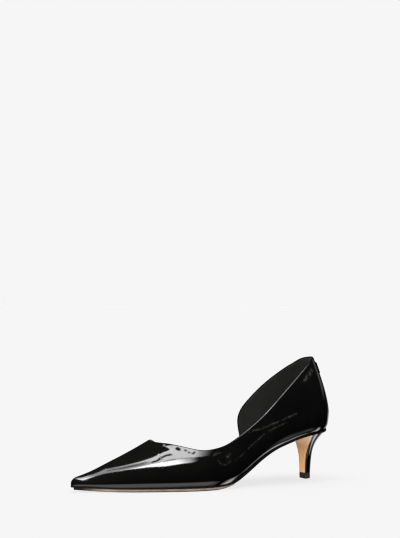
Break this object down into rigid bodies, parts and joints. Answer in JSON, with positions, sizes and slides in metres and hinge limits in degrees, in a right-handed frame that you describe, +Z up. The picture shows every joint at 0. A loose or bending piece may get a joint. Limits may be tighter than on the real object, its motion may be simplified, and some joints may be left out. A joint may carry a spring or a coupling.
{
  "type": "half dorsay pump, left shoe",
  "caption": "Pointed pump with a closed outer side, an open inner waist, a slim covered mid heel and a thin tan forefoot sole; stands empty on forefoot and heel.",
  "frame": {"origin": "centre of the shoe's bounding box, on the floor it stands on", "axes": "+X runs from the toe to the heel, -Y is the outer (lateral) side, +Y the inner (medial) side, +Z is up"},
  "size_m": [0.2486, 0.0792, 0.1113],
  "materials": {
    "patent": "patent, mirror gloss",
    "lining": "smooth matte lining",
    "edge_black": "painted satin edge",
    "tan_leather": "smooth natural",
    "heel_patent": "gloss cover over a moulded plastic heel",
    "rubber": "matte"
  },
  "bodies": {
    "root": {"upper": "patent", "insole": "lining", "sole": "edge_black", "forefoot_tread": "tan_leather", "heel": "heel_patent", "breast_cover": "tan_leather", "top_piece": "rubber", "back_tab": "patent"}
  },
  "joints": []
}
